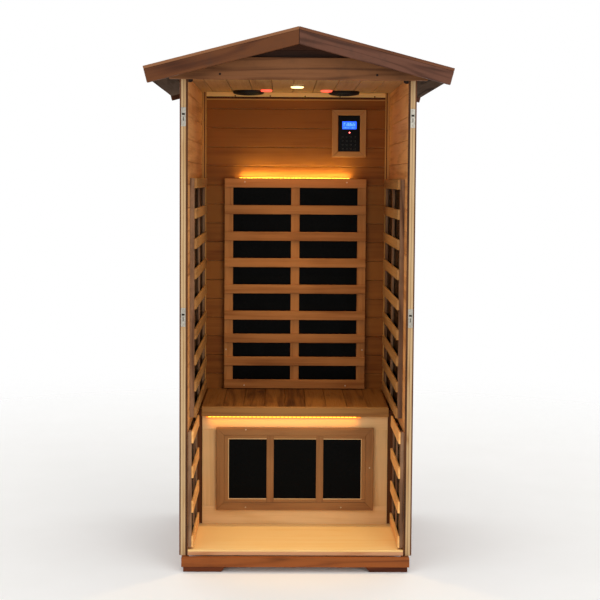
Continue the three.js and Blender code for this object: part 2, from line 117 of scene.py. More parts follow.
class Nodes:
    """A material's node tree, with short calls to add and link nodes."""

    def __init__(self, name):
        self.material = bpy.data.materials.new(name)
        self.material.use_nodes = True
        self.tree = self.material.node_tree
        self.shader = self.tree.nodes["Principled BSDF"]

    def add(self, kind, values=None, **settings):
        node = self.tree.nodes.new("ShaderNode" + kind)
        for key, value in settings.items():
            setattr(node, key, value)
        for socket, value in (values or {}).items():
            self.put(node.inputs[socket], value)
        return node

    def put(self, socket, value):
        if isinstance(value, bpy.types.NodeSocket):
            self.tree.links.new(value, socket)
        else:
            socket.default_value = value

    def math(self, operation, *values):
        return self.add("Math", dict(enumerate(values)), operation=operation).outputs[0]

    def stretch(self, vector, scale):
        node = self.add("VectorMath", {0: vector, 1: scale}, operation="MULTIPLY")
        return node.outputs[0]

    def noise(self, vector, scale, detail=3.0, roughness=0.55, distortion=0.0):
        values = {"Vector": vector, "Scale": scale, "Detail": detail, "Roughness": roughness,
                  "Distortion": distortion}
        return self.add("TexNoise", values).outputs["Fac"]

    def spread(self, value, low, high, new_low=0.0, new_high=1.0):
        values = {"Value": value, "From Min": low, "From Max": high, "To Min": new_low, "To Max": new_high}
        return self.add("MapRange", values, interpolation_type="SMOOTHSTEP").outputs["Result"]

    def mix(self, factor, first, second, blend="MIX"):
        node = self.add("Mix", data_type="RGBA", blend_type=blend)
        self.put(node.inputs["Factor"], factor)
        self.put(node.inputs["A"], first)
        self.put(node.inputs["B"], second)
        return [out for out in node.outputs if out.type == "RGBA"][0]

    def bump(self, height, strength, distance):
        values = {"Height": height, "Strength": strength, "Distance": distance}
        self.put(self.shader.inputs["Normal"], self.add("Bump", values).outputs[0])


def wood(name, light, middle, dark, rings=9.0, contrast=0.55, roughness=0.6, knots=0.0, weather=0.0,
         shine=0.18, variety=1.0):
    """Planed softwood: growth rings drawn out along the grain, fine fibres, and a tone for each board."""
    n = Nodes(name)
    grain = n.add("Attribute", attribute_name="grain").outputs["Vector"]
    tone = n.add("Attribute", attribute_name="tone").outputs["Fac"]
    drawn_out = n.stretch(grain, (0.09, 1.0, 1.0))
    warp = n.noise(drawn_out, 7.0, detail=2.0, distortion=0.6)
    ring = n.math("MULTIPLY_ADD", n.math("SINE", n.math("MULTIPLY", warp, rings * TURN)), 0.5, 0.5)
    late_wood = n.math("POWER", ring, 2.6)
    fibre = n.noise(n.stretch(grain, (0.02, 1.0, 1.0)), 420.0, detail=4.0, roughness=0.7)
    streak = n.noise(n.stretch(grain, (0.035, 1.0, 1.0)), 55.0, detail=3.0)
    patch = n.noise(grain, 5.0, detail=2.0)
    amount = n.math("MULTIPLY", late_wood, contrast)
    amount = n.math("ADD", amount, n.spread(streak, 0.35, 0.75, -0.12, 0.22))
    amount = n.math("ADD", amount, n.spread(fibre, 0.3, 0.7, -0.08, 0.12))
    amount = n.math("ADD", amount, n.spread(tone, 0.0, 1.0, -0.16 * variety, 0.2 * variety))
    amount = n.math("ADD", amount, n.spread(patch, 0.3, 0.7, -0.1, 0.12))
    ramp = n.add("ValToRGB", {"Fac": amount})
    ramp.color_ramp.elements[0].color = linear(light)
    ramp.color_ramp.elements[1].color = linear(dark)
    ramp.color_ramp.elements.new(0.5).color = linear(middle)
    color = ramp.outputs["Color"]
    if knots:
        cells = n.add("TexVoronoi", {"Vector": n.stretch(grain, (0.55, 1.0, 1.0)), "Scale": knots})
        spot = n.spread(cells.outputs["Distance"], 0.05, 0.15, 1.0, 0.0)
        chance = n.add("SeparateColor", {"Color": cells.outputs["Color"]}).outputs["Red"]
        spot = n.math("MULTIPLY", spot, n.spread(chance, 0.6, 0.72))
        color = n.mix(spot, color, KNOT)
    if weather:
        blotch = n.noise(grain, 11.0, detail=5.0, roughness=0.65)
        color = n.mix(n.spread(blotch, 0.5, 0.72, 0.0, weather), color, WEATHERED)
    n.put(n.shader.inputs["Base Color"], color)
    n.put(n.shader.inputs["Roughness"], n.spread(fibre, 0.2, 0.8, roughness - 0.09, roughness + 0.13))
    n.shader.inputs["Specular IOR Level"].default_value = shine
    height = n.math("ADD", n.math("MULTIPLY", fibre, 0.5), n.math("MULTIPLY", late_wood, 0.35))
    n.bump(height, 0.22, 0.0006)
    return n.material


def enamel(name, color, roughness=0.45, speck=0.25, metallic=0.0, scale=260.0, bump=0.15, shine=0.5):
    """A painted, moulded or plated surface with a fine speckle and faint smudges."""
    n = Nodes(name)
    place = n.add("TexCoord").outputs["Object"]
    fine = n.noise(place, scale, detail=4.0, roughness=0.7)
    smudge = n.noise(place, 14.0, detail=4.0, roughness=0.6)
    base = linear(color)
    lighter = [min(1.0, c * (1 + speck) + 0.004 * speck) for c in base[:3]] + [1]
    darker = [c * (1 - speck) for c in base[:3]] + [1]
    n.put(n.shader.inputs["Base Color"], n.mix(n.spread(fine, 0.3, 0.7), darker, lighter))
    n.put(n.shader.inputs["Roughness"], n.spread(smudge, 0.3, 0.7, roughness - 0.08, roughness + 0.12))
    n.shader.inputs["Metallic"].default_value = metallic
    n.shader.inputs["Specular IOR Level"].default_value = shine
    n.bump(fine, bump, 0.0003)
    return n.material


def glow(name, color, strength, body="#fff1d0"):
    """A lit lens: it shines in its own colour, a little unevenly, under a glossy skin."""
    n = Nodes(name)
    place = n.add("TexCoord").outputs["Object"]
    cloud = n.noise(place, 90.0, detail=2.0)
    n.put(n.shader.inputs["Base Color"], n.mix(cloud, linear(body), linear(color)))
    uneven = n.spread(cloud, 0.3, 0.7, 0.0, 0.2)
    n.put(n.shader.inputs["Emission Color"], n.mix(uneven, linear(color), linear(body)))
    n.shader.inputs["Emission Strength"].default_value = strength
    n.shader.inputs["Roughness"].default_value = 0.25
    return n.material


LINING = wood("lining", "#e3a362", "#c38146", "#8a5529", rings=5.0, contrast=0.3)
BACK_LINING = wood("back_lining", "#90551c", "#78400f", "#572a08", rings=4.0, contrast=0.16, variety=1.3)
TRIM_WOOD = wood("trim_wood", "#f6cc80", "#eab660", "#c98a3c", rings=4.0, contrast=0.25)
BEAD_WOOD = wood("bead_wood", "#c28d4b", "#b07a3b", "#8b5a24", rings=4.0, contrast=0.25)
# Dark wood whose darkness is painted shade: the fillet under the ceiling trim, the corner beads' groove and
# the bench end cleats.
SHADE_DARK_WOOD = wood("shade_dark_wood", "#5f3414", "#4a270c", "#2e1606", rings=4.0, contrast=0.3)
CEILING_WOOD = wood("ceiling_wood", "#b99160", "#a27a4c", "#76552f", rings=5.0, contrast=0.25, variety=1.4)
GRILLE = wood("grille", "#b8783e", "#9d612e", "#73401b", rings=5.0, contrast=0.3)
SIDE_GRILLE = wood("side_grille", "#b4844c", "#9b6c39", "#6f4723", rings=5.0, contrast=0.3)
# Grey-brown and darker than the slats: painted shade on the heater stiles, with weathered blotches.
SHADED_STILE_WOOD = wood("shaded_stile_wood", "#937052", "#79563c", "#4e3422", rings=8.0, contrast=0.6, weather=0.35)
# Far lighter than the other grilles: painted light from the bench strip's glow and the floor on the leg
# heaters' slats.
GLOW_LIT_LEG_GRILLE = wood("glow_lit_leg_grille", "#ffc175", "#dfa05a", "#aa6f37", rings=5.0, contrast=0.3)
CALF_WOOD = wood("calf_wood", "#9a6a3c", "#83562f", "#5f381a", rings=5.0, contrast=0.3)
BENCH = wood("bench", "#e5bb83", "#d6a86d", "#b28048", rings=5.0, contrast=0.3)
CONTROL_WOOD = wood("control_wood", "#b6844e", "#ac7640", "#8d5829", rings=5.0, contrast=0.3)
SEAT = wood("seat", "#835425", "#653c17", "#3e200a", rings=7.0, contrast=0.4, knots=7.0, variety=1.9)
SEAT_TRIM = wood("seat_trim", "#9c6d39", "#825529", "#573318", rings=6.0, contrast=0.4, knots=5.0)
FLOORING = wood("flooring", "#fad08a", "#f4c274", "#dfa858", rings=4.0, contrast=0.14, knots=3.2)
PINE = wood("pine", "#c6a57a", "#b79062", "#946a3d", rings=8.0, contrast=0.4, knots=6.0)
STAINED = wood("stained", "#6e432a", "#59331e", "#381d11", rings=6.0, contrast=0.5, weather=0.3)
LEFT_BARGE = wood("left_barge", "#64391c", "#502a13", "#321809", rings=7.0, contrast=0.6, weather=0.35)
RIGHT_BARGE = wood("right_barge", "#643f2f", "#4e2e20", "#2e1912", rings=7.0, contrast=0.6, weather=0.4)
VERGE_WOOD = wood("verge_wood", "#8a5c3c", "#75492c", "#502d16", rings=5.0, contrast=0.35)
# Darker than the stained wood of the back gable: painted shade of the roof's overhang on the front gable
# boards.
GABLE = wood("gable", "#4c2b1a", "#3b2113", "#23120a", rings=5.0, contrast=0.4)
HEADER = wood("header", "#825331", "#6a4124", "#412513", rings=5.0, contrast=0.6, weather=0.2)
BASE = wood("base", "#935022", "#7d4119", "#54290e", rings=6.0, contrast=0.45, weather=0.12)
# A lighter reddish wood, made lighter still as a painted highlight along the floor frame's front.
RAIL_WITH_HIGHLIGHT = wood("rail", "#dba074", "#c98859", "#9a5f38", rings=6.0, contrast=0.4)
# Darker than the base wood: painted shade of the feet under the skirt.
SHADED_FOOT = wood("foot", "#653015", "#50230d", "#321407", rings=6.0, contrast=0.45, weather=0.2)
SOFFIT = wood("soffit", "#5c4838", "#4a3828", "#2b1e14", rings=6.0, contrast=0.6, roughness=0.85, shine=0.02)
END_GRAIN = wood("end_grain", "#5a3418", "#462610", "#2c1608", rings=9.0, contrast=0.5)
HEATER_BLACK = enamel("heater_black", "#040403", roughness=0.3, speck=0.5, scale=420.0, shine=0.03)
PLASTIC_BLACK = enamel("plastic_black", "#080707", roughness=0.35, speck=0.4, shine=0.08)
SPEAKER_BLACK = enamel("speaker_black", "#080707", roughness=0.6, speck=0.4, shine=0.3)
ZINC = enamel("zinc", "#b3ada0", roughness=0.36, speck=0.2, metallic=1.0, scale=120.0)
STEEL = enamel("screw_steel", "#c9b48f", roughness=0.4, speck=0.2, metallic=0.6)
DARK_STEEL = enamel("dark_steel", "#1e1610", roughness=0.6, speck=0.3, metallic=0.3, shine=0.2)
ICON_GREY = enamel("icon_grey", "#3c3b38", roughness=0.5, speck=0.2)
WARM_LENS = glow("warm_lens", "#ffdc8c", 3.0, body="#fff0d0")
AMBER_LED = glow("amber_led", "#ffa824", 3.0, body="#ffc45a")
AMBER_SHELL = glow("amber_shell", "#ff8c14", 0.8, body="#a8661c")
RED_LENS = glow("red_lens", "#ff4a34", 1.5, body="#ff8676")
BLUE_SCREEN = glow("blue_screen", "#1450ff", 1.6, body="#2c78ff")
SCREEN_MARKS = glow("screen_marks", "#4a90ff", 1.3, body="#78b0ff")
RED_LED = glow("red_led", "#ff2a30", 9.0, body="#ffd0d0")


# Shapes. Each is a small bmesh that a Build gathers.

def prism(points, axis, low, high, bevel=EDGE):
    """An outline carried along an axis. The points are (x, y), (x, z) or (y, z), as the axis leaves them."""
    rest = [i for i in range(3) if i != axis]
    bm = bmesh.new()
    rings = []
    for level in (low, high):
        ring = []
        for a, b in points:
            co = [0, 0, 0]
            co[axis], co[rest[0]], co[rest[1]] = level, a, b
            ring.append(bm.verts.new(co))
        rings.append(ring)
    count = len(points)
    bm.faces.new(rings[0])
    bm.faces.new(list(reversed(rings[1])))
    for i in range(count):
        j = (i + 1) % count
        bm.faces.new((rings[0][j], rings[0][i], rings[1][i], rings[1][j]))
    bmesh.ops.recalc_face_normals(bm, faces=bm.faces)
    return rounded(bm, bevel)


def rounded(bm, bevel):
    """The shape with its sharp edges rounded off."""
    if bevel:
        sharp = [e for e in bm.edges if len(e.link_faces) == 2 and e.calc_face_angle(0) > math.radians(20)]
        bmesh.ops.bevel(bm, geom=sharp, offset=bevel, segments=2, profile=0.5, affect="EDGES",
                        clamp_overlap=True)
    return bm


def rectangle(low, high):
    """The corners of a rectangle, from one corner to the opposite one."""
    return (low[0], low[1]), (high[0], low[1]), (high[0], high[1]), (low[0], high[1])


def brick(low, high, bevel=EDGE):
    """A box from its low corner to its high one."""
    return prism(rectangle(low, high), 2, low[2], high[2], bevel)


def mitred(outer, inner, front, back, bevel):
    """Four boards of an upright frame, mitred at the corners, each with its direction along and across."""
    for i in range(4):
        j = (i + 1) % 4
        along, across = (X, Z) if i % 2 == 0 else (Z, X)
        yield prism((outer[i], outer[j], inner[j], inner[i]), 1, front, back, bevel), along, across


def middle_of(low, high):
    return (low + high) / 2


def turned(profile, sides=32):
    """A shape turned about Z from (radius, height) points. A radius of 0 closes it."""
    bm = bmesh.new()
    rings = []
    for radius, height in profile:
        if radius:
            angles = [2 * math.pi * i / sides for i in range(sides)]
            rings.append([bm.verts.new((radius * math.cos(a), radius * math.sin(a), height)) for a in angles])
        else:
            rings.append([bm.verts.new((0, 0, height))])
    for lower, upper in zip(rings, rings[1:]):
        for i in range(sides):
            j = (i + 1) % sides
            corners = [ring[k % len(ring)] for ring, k in ((lower, i), (lower, j), (upper, j), (upper, i))]
            bm.faces.new(list(dict.fromkeys(corners)))
    bmesh.ops.recalc_face_normals(bm, faces=bm.faces)
    return bm


def copy_of(node):
    """The node's own shape with its triangles merged into flat faces."""
    bm = bmesh.new()
    bm.from_mesh(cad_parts[node].data)
    bmesh.ops.remove_doubles(bm, verts=bm.verts, dist=0.01 * MM)
    bmesh.ops.dissolve_limit(bm, angle_limit=math.radians(1), verts=bm.verts, edges=bm.edges)
    return bm


def cut_between(bm, across, start, end):
    """Keeps what lies between two places along the across direction."""
    for place, outward in ((start, -across), (end, across)):
        geom = bm.verts[:] + bm.edges[:] + bm.faces[:]
        cut = bmesh.ops.bisect_plane(bm, geom=geom, plane_co=across * place, plane_no=outward,
                                     clear_outer=True)
        edges = [e for e in cut["geom_cut"] if isinstance(e, bmesh.types.BMEdge)]
        if edges:
            bmesh.ops.holes_fill(bm, edges=edges)
    bmesh.ops.recalc_face_normals(bm, faces=bm.faces)
    return bm


def slices(node, across, joints, gap=BOARD_GAP, bevel=V_JOINT):
    """The node's shape cut into boards at the joints, which are places along the across direction."""
    reach = [v.co.dot(across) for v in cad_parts[node].data.vertices]
    ends = [min(reach) - 1, *[j for j in sorted(joints) if min(reach) < j < max(reach)], max(reach) + 1]
    for start, end in zip(ends, ends[1:]):
        yield rounded(cut_between(copy_of(node), across, start + gap / 2, end - gap / 2), bevel)


class Build:
    """Gathers shapes into one piece. Each shape's vertices get its place in the grain and its tone."""

    def __init__(self, name):
        self.name = name
        self.random = random.Random(name)
        self.bm = bmesh.new()
        self.grain = self.bm.verts.layers.float_vector.new("grain")
        self.tone = self.bm.verts.layers.float.new("tone")

    def add(self, shape, along=X, across=None, tone=None):
        """Takes in a shape whose grain runs along one direction, with growth rings across another."""
        along = along.normalized()
        across = (across or (Z if abs(along.z) < 0.9 else X)).normalized()
        depth = along.cross(across)
        shift = Vector([self.random.uniform(0, 40) for _ in range(3)])
        own_tone = self.random.random() if tone is None else tone
        made = {}
        for v in shape.verts:
            new = self.bm.verts.new(v.co)
            new[self.grain] = Vector((v.co.dot(along), v.co.dot(across), v.co.dot(depth))) + shift
            new[self.tone] = own_tone
            made[v.index if v.index >= 0 else id(v)] = new
        shape.verts.index_update()
        ordered = list(made.values())
        for f in shape.faces:
            self.bm.faces.new([ordered[v.index] for v in f.verts])
        shape.free()
        return self

    def place(self, shape, matrix):
        """Adds a shape that is moved first, by a matrix."""
        shape.transform(matrix)
        return self.add(shape)

    def finish(self, material, slot, nodes=(), smooth=False):
        """Makes the piece, rides it on the body and puts it in place of the nodes that it shows."""
        mesh = bpy.data.meshes.new(self.name)
        self.bm.to_mesh(mesh)
        self.bm.free()
        mesh.materials.append(material)
        if smooth:
            mesh.shade_smooth()
            mesh.set_sharp_from_angle(angle=math.radians(38))
        piece = bpy.data.objects.new(self.name, mesh)
        bpy.context.scene.collection.objects.link(piece)
        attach(piece, "root")
        if nodes:
            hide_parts(*nodes)
        return piece


def board(node, name, material, slot, along, across=None, bevel=EDGE, tone=None):
    """One timber in the node's own shape, with planed edges."""
    build = Build(name)
    build.add(rounded(copy_of(node), bevel), along, across, tone)
    return build.finish(material, slot, [node])


def boarding(node, name, material, slot, along, across, joints, **words):
    """The node's shape as a row of boards."""
    build = Build(name)
    for shape in slices(node, across, joints, **words):
        build.add(shape, along, across)
    return build.finish(material, slot, [node])


def series(first, step, low, high, margin=0.0):
    """Every place first + n * step between low and high, none within the margin of either."""
    low, high = low + margin, high - margin
    start = math.ceil((low - first) / step)
    end = math.floor((high - first) / step)
    return [first + n * step for n in range(start, end + 1)]


def corner_places(node, axis):
    """The places along an axis where a box-shaped node has corners: each has at least four."""
    found = {}
    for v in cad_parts[node].data.vertices:
        corner = tuple(round(c, 5) for c in v.co)
        found.setdefault(corner[axis], set()).add(corner)
    return sorted(place for place, corners in found.items() if len(corners) > 3)


def levels(node, axis, plane, at):
    """The places along an axis where the node has corners on one plane, in pairs of (low, high)."""
    found = {round(v.co[axis], 5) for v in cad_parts[node].data.vertices if abs(v.co[plane] - at) < 1e-5}
    ordered = [place for place in corner_places(node, axis) if place in found]
    return list(zip(ordered[::2], ordered[1::2]))


# Fastenings.

def screws(name, places, radius, material):
    """Low domed heads that face the front, each with a crossed mark on top."""
    build = Build(name)
    height = radius * 0.35
    head = ((0, 0), (radius, 0), (radius, height * 0.5), (radius * 0.8, height), (0, height * 1.05))
    half_length, half_width = radius * 0.62, radius * 0.11
    turn = (-Y).to_track_quat("Z", "Y").to_matrix().to_4x4()
    cross_angle = 0.35
    for place in places:
        at = Matrix.Translation(place) @ turn
        build.place(turned(head, 14), at)
        for angle in (cross_angle, cross_angle + math.pi / 2):
            bar = brick((-half_length, -half_width, radius * 0.3), (half_length, half_width, radius * 0.4), 0)
            build.place(bar, at @ Matrix.Rotation(angle, 4, "Z"))
    build.finish(material, "latch_metal")


# Base.

def make_base():
    low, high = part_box("base_frame")
    thickness = high.x - corner_places("base_frame", 0)[-2]
    build = Build("base_skirt")
    for start, end in ((low.y, low.y + thickness), (high.y - thickness, high.y)):
        build.add(brick((low.x, start, low.z), (high.x, end, high.z), 1.6 * MM), X, Z)
    for start, end in ((low.x, low.x + thickness), (high.x - thickness, high.x)):
        build.add(brick((start, low.y + thickness, low.z), (end, high.y - thickness, high.z), 1.2 * MM), Y, Z)
    build.finish(BASE, "base_wood", ["base_frame"])
    # The feet take a darker wood as painted shade under the skirt.
    for row in ("front", "back"):
        for hand, _ in SIDES:
            node = f"{row}_{hand}_foot"
            board(node, f"{node}_block", SHADED_FOOT, "foot_wood", X, Z, bevel=1.8 * MM)
    # The rail's light colour is partly its own wood and partly a painted highlight.
    board("floor_frame", "floor_frame_rail", RAIL_WITH_HIGHLIGHT, "base_wood", X, Z, bevel=1.0 * MM)
    board("floor_boards", "floor_sheet", FLOORING, "floor_wood", X, Y, bevel=1.0 * MM, tone=0.35)


# Walls.

def make_walls():
    side_joints = series(CEILING - SIDE_JOINT_DROP, SIDE_BOARD, 0, CEILING, NARROWEST_BOARD)
    for hand, _ in SIDES:
        boarding(f"{hand}_wall_lining", f"{hand}_wall_boards", LINING, "lining_wood", Y, Z, side_joints)
        low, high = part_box(f"{hand}_wall_cladding")
        upright = series(low.y + CLADDING_BOARD, CLADDING_BOARD, low.y, high.y, NARROWEST_BOARD)
        boarding(f"{hand}_wall_cladding", f"{hand}_wall_siding", STAINED, "stained_wood", Z, Y, upright,
                 **SIDING_JOINT)
        make_wall_frame(hand)
        make_end_grain(hand)
        make_corner_bead(hand)
    back_joints = series(CEILING - BACK_JOINT_DROP, BACK_BOARD, 0, CEILING, NARROWEST_BOARD)
    boarding("back_wall_lining", "back_wall_boards", BACK_LINING, "lining_wood", X, Z, back_joints,
             bevel=2.2 * MM)
    low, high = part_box("back_wall_cladding")
    upright = series(0, CLADDING_BOARD, low.x, high.x, NARROWEST_BOARD)
    boarding("back_wall_cladding", "back_wall_siding", STAINED, "stained_wood", Z, X, upright, **SIDING_JOINT)
    board("back_wall_frame", "back_wall_core", PINE, "frame_wood", Z, X)


def make_ceiling():
    board("ceiling_back_trim", "ceiling_back_bead", TRIM_WOOD, "lining_wood", X, Z, bevel=2.0 * MM, tone=0.1)
    make_back_mouldings()
    low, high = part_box("ceiling_panel")
    joints = series(CEILING_JOINT, CEILING_BOARD, low.x, high.x, NARROWEST_BOARD)
    boarding("ceiling_panel", "ceiling_boards", CEILING_WOOD, "lining_wood", Y, X, joints, **CEILING_GROOVE)


def make_corner_bead(hand):
    """Two narrow beads with a tacked groove between them, up the corner of the room; the groove's dark wood
    is painted shade in the recess.
    """
    node = f"{hand}_corner_trim"
    low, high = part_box(node)
    start, end = (low.x + (high.x - low.x) * share for share in GROOVE[hand])
    groove_depth = 1.8 * MM
    build = Build(f"{hand}_corner_bead")
    for x0, x1 in ((low.x, start), (end, high.x)):
        build.add(brick((x0, low.y, low.z), (x1, high.y, high.z), 1.2 * MM), Z, X)
    build.finish(BEAD_WOOD, "lining_wood", [node])
    # The groove's core is dark wood: painted shade in the recess.
    core = brick((start, low.y + groove_depth, low.z), (end, high.y, high.z), 0)
    Build(f"{hand}_corner_groove").add(core, Z, X).finish(SHADE_DARK_WOOD, "lining_wood")


def make_end_grain(hand):
    """The cut ends of the lining boards, darker than their faces."""
    low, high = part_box(f"{hand}_wall_lining")
    strip = brick((low.x, low.y - 0.3 * MM, low.z), (high.x, low.y + 0.4 * MM, high.z), 0)
    Build(f"{hand}_lining_ends").add(strip, Z, X).finish(END_GRAIN, "lining_wood")


def make_back_mouldings():
    """Under the ceiling trim, a fillet in dark wood (painted shade under the trim) and a thin light lip
    (partly a painted highlight) run along the back wall.
    """
    low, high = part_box("ceiling_back_trim")
    fillet, lip = 9.0 * MM, 5.5 * MM
    seam = low.z - fillet
    # The fillet's dark colour is painted shade under the trim; the lip's light colour is partly a painted
    # highlight.
    shapes = ((low.y + 2.0 * MM, seam, low.z, SHADE_DARK_WOOD, "ceiling_back_fillet"),
              (low.y + 1.0 * MM, seam - lip, seam, BEAD_WOOD, "ceiling_back_lip"))
    for y, z0, z1, material, name in shapes:
        shape = brick((low.x, y, z0), (high.x, ROOM_BACK, z1), 1.2 * MM)
        Build(name).add(shape, X, Z).finish(material, "lining_wood")


def make_wall_frame(hand):
    """Two studs side by side, so that a narrow groove runs up the front edge."""
    node = f"{hand}_wall_frame"
    low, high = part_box(node)
    boarding(node, f"{hand}_wall_studs", PINE, "frame_wood", Z, X, [middle_of(low.x, high.x)],
             gap=0.8 * MM, bevel=1.1 * MM)


# Gables and roof.

def make_gables():
    board("front_header_board", "front_header", HEADER, "header_wood", X, Z, bevel=1.8 * MM, tone=0.3)
    low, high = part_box("front_gable_board")
    rows = series(high.z - GABLE_JOINT_DROP, GABLE_BOARD, low.z, high.z)
    # The front gable boards' dark wood is painted shade under the roof.
    boarding("front_gable_board", "front_gable_boards", GABLE, "stained_wood", X, Z, rows, gap=0)
    low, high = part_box("back_gable_board")
    upright = series(0, CLADDING_BOARD, low.x, high.x, NARROWEST_BOARD)
    boarding("back_gable_board", "back_gable_boards", STAINED, "stained_wood", Z, X, upright, **CLOSED_JOINT)


def make_roof():
    """Boards that run from gable to gable, closed by a verge board down each slope's ends."""
    for hand, side in SIDES:
        barge_wood, verge_wood = (LEFT_BARGE, VERGE_WOOD) if side < 0 else (RIGHT_BARGE, STAINED)
        down_slope = Vector((side * math.cos(ROOF_PITCH), 0, -math.sin(ROOF_PITCH)))
        upward = Y.cross(down_slope)
        for end in ("front", "back"):
            node = f"{end}_{hand}_barge"
            board(node, f"{node}_board", barge_wood, "stained_wood", down_slope, upward, bevel=2.2 * MM)
        panel = f"{hand}_roof_panel"
        reach = [v.co.dot(down_slope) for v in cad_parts[panel].data.vertices]
        eaves, ridge = max(reach), min(reach)
        rows = series(eaves, SOFFIT_BOARD, ridge + NARROWEST_BOARD, eaves)
        boarding(panel, f"{hand}_soffit_boards", SOFFIT, "soffit_wood", Y, down_slope, rows,
                 gap=0, bevel=4.0 * MM)

        cap = f"{hand}_roof_cap"
        low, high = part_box(cap)
        field = Build(f"{hand}_roof_boards")
        for shape in slices(cap, down_slope, rows, gap=0, bevel=0):
            inner = cut_between(shape, Y, low.y + VERGE, high.y - VERGE)
            field.add(rounded(inner, 1.6 * MM), Y, down_slope)
        field.finish(STAINED, "stained_wood", [cap])
        verges = Build(f"{hand}_verge_boards")
        for gable in (low.y, high.y):
            verge = cut_between(copy_of(cap), Y, gable - VERGE, gable + VERGE)
            verges.add(rounded(verge, 1.0 * MM), down_slope, Y)
        verges.finish(verge_wood, "stained_wood", [cap])
    make_ridge_fillet()


def make_ridge_fillet():
    """A strip in the joint at the ridge, so that no light shows between the slopes."""
    low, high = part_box("left_roof_cap")
    panel_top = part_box("left_roof_panel")[1].z
    half_width, inset = 3.0 * MM, 3.0 * MM
    under = panel_top - (high.z - panel_top)
    strip = brick((-half_width, low.y + inset, under), (half_width, high.y - inset, high.z - inset), 0)
    Build("ridge_fillet").add(strip, Y, X).finish(STAINED, "stained_wood")


# Bench.

def make_bench():
    low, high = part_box("bench_seat")
    joints = series(SEAT_BOARD / 2, SEAT_BOARD, low.x, high.x, NARROWEST_BOARD)
    boarding("bench_seat", "bench_seat_boards", SEAT, "seat_wood", Y, X, joints, bevel=1.6 * MM)
    board("bench_front_trim", "bench_front_rail", SEAT_TRIM, "seat_wood", X, Z, bevel=3.0 * MM, tone=0.2)
    make_bench_front()


def make_bench_front():
    """A framed front: rails above and below, stiles that reach in behind the heater, and a thin middle."""
    low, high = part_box("bench_front_panel")
    top_rail, bottom_rail, tuck = 0.078, 0.076, 0.030
    top, bottom = high.z - top_rail, low.z + bottom_rail
    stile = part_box("calf_heater_frame")[0].x - low.x + tuck
    build = Build("bench_front_boards")
    build.add(brick((low.x, low.y, top), high), X, Z, tone=0.1)
    build.add(brick(low, (high.x, high.y, bottom)), X, Z, tone=0.3)
    for start, end in ((low.x, low.x + stile), (high.x - stile, high.x)):
        build.add(brick((start, low.y, bottom), (end, high.y, top)), Z, X)
    middle = middle_of(low.y, high.y)
    build.add(brick((low.x + stile, middle, bottom), (high.x - stile, high.y, top)), Z, X)
    build.finish(BENCH, "bench_wood", ["bench_front_panel"])

    # The end cleats fill the gaps beside the bench front with dark wood: painted shade of those gaps.
    joint, setback, cleat = 0.5 * MM, 4.0 * MM, 0.012
    cleats = Build("bench_end_cleats")
    for _, side in SIDES:
        near, far = sorted((side * (high.x + joint), side * (ROOM_SIDE - joint)))
        cleats.add(brick((near, low.y + setback, low.z), (far, high.y + cleat, high.z)), Z, X)
    cleats.finish(SHADE_DARK_WOOD, "bench_wood")


# Heaters.

def make_grille(heater, facing, slat_wood, shaded_stile_wood=None):
    """Slats over upright stiles, facing along a direction. Stiles of another wood are a second piece; that
    wood is darkened as painted shade.
    """
    node = f"{heater}_grille"
    low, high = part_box(node)
    plane = 1 if abs(facing.y) > 0.5 else 0
    length = 1 - plane
    run = (X, Y)[length]
    front, seam, *backs = sorted(corner_places(node, plane), reverse=facing[plane] > 0)

    def bar(lengthwise, depth, heights, bevel):
        corners = [[0, 0, z] for z in heights]
        for corner, along, deep in zip(corners, lengthwise, sorted(depth)):
            corner[length], corner[plane] = along, deep
        return brick(*corners, bevel)

    build = Build(f"{heater}_slats")
    for heights in levels(node, 2, plane, front):
        build.add(bar((low[length], high[length]), (front, seam), heights, 2.0 * MM), run, Z)
    if shaded_stile_wood:
        build.finish(slat_wood, "grille_wood", [node])
        build = Build(f"{heater}_stiles")
    for back in backs:
        for stile in levels(node, length, plane, back):
            build.add(bar(stile, (seam, back), (low.z, high.z), 1.4 * MM), Z, run)
    build.finish(shaded_stile_wood or slat_wood, "grille_wood", [node])


def make_heaters():
    make_grille("back_heater", -Y, GRILLE)
    for hand, side in SIDES:
        # The side and leg heaters' stiles take a darker wood as painted shade.
        make_grille(f"{hand}_side_heater", X * -side, SIDE_GRILLE, SHADED_STILE_WOOD)
        # The leg heaters' slats take a far lighter wood as painted light from the bench strip's glow.
        make_grille(f"{hand}_leg_heater", X * -side, GLOW_LIT_LEG_GRILLE, SHADED_STILE_WOOD)
    make_back_heater_screws()


def make_back_heater_screws():
    """Screws near the corners, and two more up each outer stile."""
    low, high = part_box("back_heater_grille")
    slats = levels("back_heater_grille", 2, 1, low.y)
    top, bottom = middle_of(*slats[-1]), middle_of(*slats[0])
    upper = middle_of(slats[-2][0], slats[-3][1]) + 0.045
    lower = middle_of(slats[1][1], slats[2][0])
    out = low.y - PROUD
    stile_out = corner_places("back_heater_grille", 1)[1]
    corners = (low.x + 0.09, high.x - 0.087), (top + 5 * MM, bottom - 6 * MM)
    edges = (low.x + 8 * MM, high.x - 12 * MM), (upper, lower)
    places = [Vector((x, out, z)) for x in corners[0] for z in corners[1]]
    places += [Vector((x, stile_out, z)) for x in edges[0] for z in edges[1]]
    screws("back_heater_screws", places, 3.2 * MM, STEEL)


